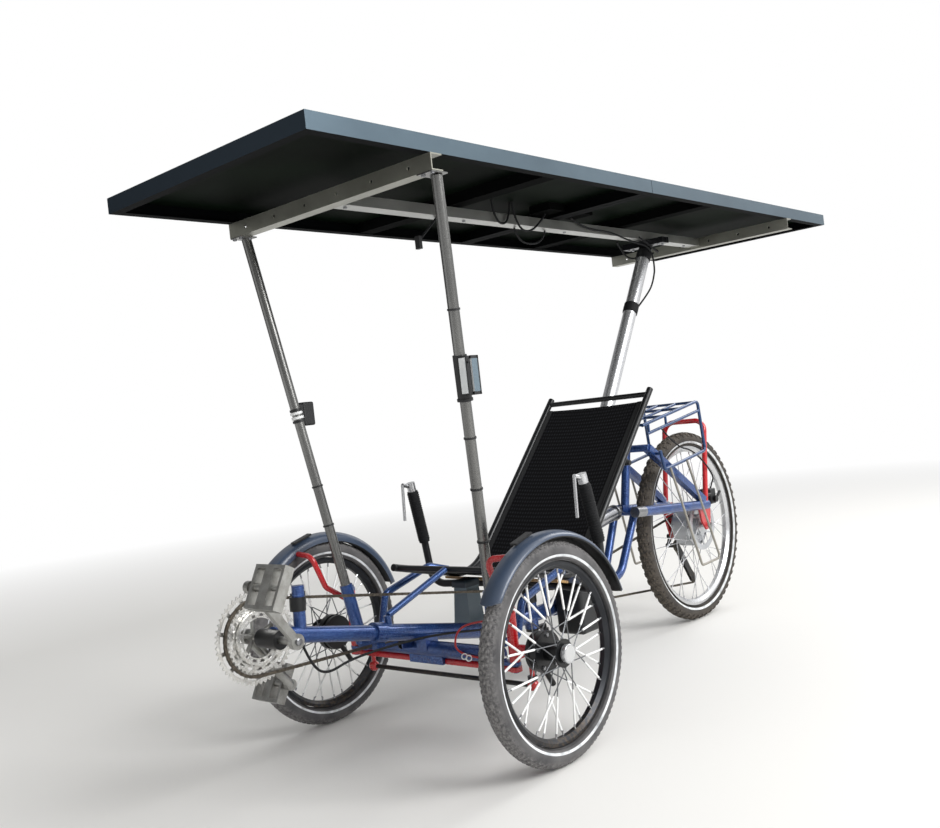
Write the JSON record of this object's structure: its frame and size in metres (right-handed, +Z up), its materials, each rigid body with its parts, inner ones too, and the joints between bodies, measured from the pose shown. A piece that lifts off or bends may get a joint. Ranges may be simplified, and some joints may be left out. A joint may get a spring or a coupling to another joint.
{
  "type": "recumbent tricycle with solar roof",
  "caption": "Recumbent tricycle, steered wheels in front and a hub motor wheel behind, under a long flat solar module roof on slim masts",
  "frame": {"origin": "on the ground, at the centre of the whole vehicle's bounding box", "axes": "+Z up, +Y to the rear, +X to the rider's left"},
  "size_m": [0.887, 2.598, 1.42],
  "materials": {
    "black_alloy": "satin",
    "blue_paint": "metallic gloss",
    "box_grey": "satin",
    "cable_red": "satin",
    "fender_blue": "gloss",
    "lens_clear": "clear",
    "light_blue_paint": "gloss",
    "mast_steel": "dark polish",
    "mast_tube": "satin",
    "mesh_black": "woven",
    "mould_black": "moulded",
    "rail_alloy": "mill finish",
    "red_paint": "gloss",
    "roof_profile": "satin",
    "rubber_black": "matte",
    "silver_alloy": "satin",
    "slat_wood": "varnished",
    "solar_glass": "glossy laminate",
    "steel": "brushed",
    "tyre_black": "matte",
    "white_sleeve": "satin",
    "wire_grey": "satin"
  },
  "bodies": {
    "chassis": {"main_frame": "blue_paint", "boom": "blue_paint", "bottom_bracket": "black_alloy", "cross_beam": "blue_paint", "lower_arms": "red_paint", "seat_frame": "black_alloy", "seat_sling": "mesh_black", "seat_stays": "blue_paint", "seat_slat": "slat_wood", "battery_box": "box_grey", "controller_box": "mould_black", "swingarm": "blue_paint", "rear_shock": "steel", "rear_arch": "red_paint", "rack": "light_blue_paint", "rack_hoops": "wire_grey", "front_masts": "mast_tube", "rear_mast": "mast_steel", "cross_rails": "rail_alloy", "spine_rail": "rail_alloy", "module_frames": "roof_profile", "module_glass": "solar_glass", "roof_bars": "black_alloy", "roof_wiring": "rubber_black", "mast_lamp": "mould_black", "mast_lamp_lens": "lens_clear", "rear_caliper": "black_alloy", "mast_box": "mould_black", "red_cable": "cable_red", "black_cables": "rubber_black", "chain": "steel", "chain_guides": "black_alloy"},
    "left_knuckle": {"knuckle_left": "red_paint", "fender_left": "fender_blue", "brake_plate_left": "black_alloy"},
    "left_wheel": {"front_tyre_left": "tyre_black", "front_rim_left": "black_alloy", "front_spokes_left": "white_sleeve", "front_hub_left": "black_alloy"},
    "right_knuckle": {"knuckle_right": "red_paint", "fender_right": "fender_blue", "brake_plate_right": "black_alloy"},
    "right_wheel": {"front_tyre_right": "tyre_black", "front_rim_right": "black_alloy", "front_spokes_right": "white_sleeve", "front_hub_right": "black_alloy"},
    "back_wheel": {"rear_tyre": "tyre_black", "rear_rim": "silver_alloy", "rear_spokes": "steel", "rear_hub_motor": "silver_alloy"},
    "steering_bar": {"handlebar": "black_alloy", "grips": "rubber_black", "brake_levers": "silver_alloy"},
    "steering_link": {"drag_link": "black_alloy"},
    "steering_rod": {"track_rod": "black_alloy"},
    "crankset": {"cranks": "silver_alloy", "chainrings": "silver_alloy"},
    "left_pedal": {"pedal_left": "silver_alloy"},
    "right_pedal": {"pedal_right": "silver_alloy"}
  },
  "joints": [
    {"name": "bar_turn", "type": "hinge", "parent": "chassis", "child": "steering_bar", "pos_m": [0, -0.26796, 0.22], "axis": [0, 0, 1], "range_deg": [-22, 22]},
    {"name": "left_steer", "type": "hinge", "parent": "chassis", "child": "left_knuckle", "pos_m": [0.28, -0.68796, 0.297], "axis": [0, 0, 1], "range_deg": [-22, 22]},
    {"name": "right_steer", "type": "hinge", "parent": "chassis", "child": "right_knuckle", "pos_m": [-0.28, -0.68796, 0.297], "axis": [0, 0, 1], "range_deg": [-22, 22]},
    {"name": "link_turn", "type": "hinge", "parent": "steering_bar", "child": "steering_link", "pos_m": [0, -0.21096, 0.168], "axis": [0, 0, 1], "range_deg": [-22, 22]},
    {"name": "rod_turn", "type": "hinge", "parent": "left_knuckle", "child": "steering_rod", "pos_m": [0.28, -0.63096, 0.15], "axis": [0, 0, 1], "range_deg": [-22, 22]},
    {"name": "left_wheel_spin", "type": "hinge", "parent": "left_knuckle", "child": "left_wheel", "pos_m": [0.4015, -0.68796, 0.253], "axis": [1, 0, 0], "continuous": true},
    {"name": "right_wheel_spin", "type": "hinge", "parent": "right_knuckle", "child": "right_wheel", "pos_m": [-0.4015, -0.68796, 0.253], "axis": [1, 0, 0], "continuous": true},
    {"name": "rear_wheel_spin", "type": "hinge", "parent": "chassis", "child": "back_wheel", "pos_m": [0, 0.68604, 0.333], "axis": [1, 0, 0], "continuous": true},
    {"name": "crank_spin", "type": "hinge", "parent": "chassis", "child": "crankset", "pos_m": [0, -1.16596, 0.374], "axis": [1, 0, 0], "continuous": true},
    {"name": "left_pedal_spin", "type": "hinge", "parent": "crankset", "child": "left_pedal", "pos_m": [0.15, -1.26684, 0.51083], "axis": [1, 0, 0], "continuous": true},
    {"name": "right_pedal_spin", "type": "hinge", "parent": "crankset", "child": "right_pedal", "pos_m": [-0.15, -1.06508, 0.23717], "axis": [1, 0, 0], "continuous": true}
  ],
  "couplings": [
    {"joint": "left_steer", "follows": "bar_turn", "ratio": 1},
    {"joint": "right_steer", "follows": "bar_turn", "ratio": 1},
    {"joint": "link_turn", "follows": "bar_turn", "ratio": -1},
    {"joint": "rod_turn", "follows": "bar_turn", "ratio": -1}
  ]
}
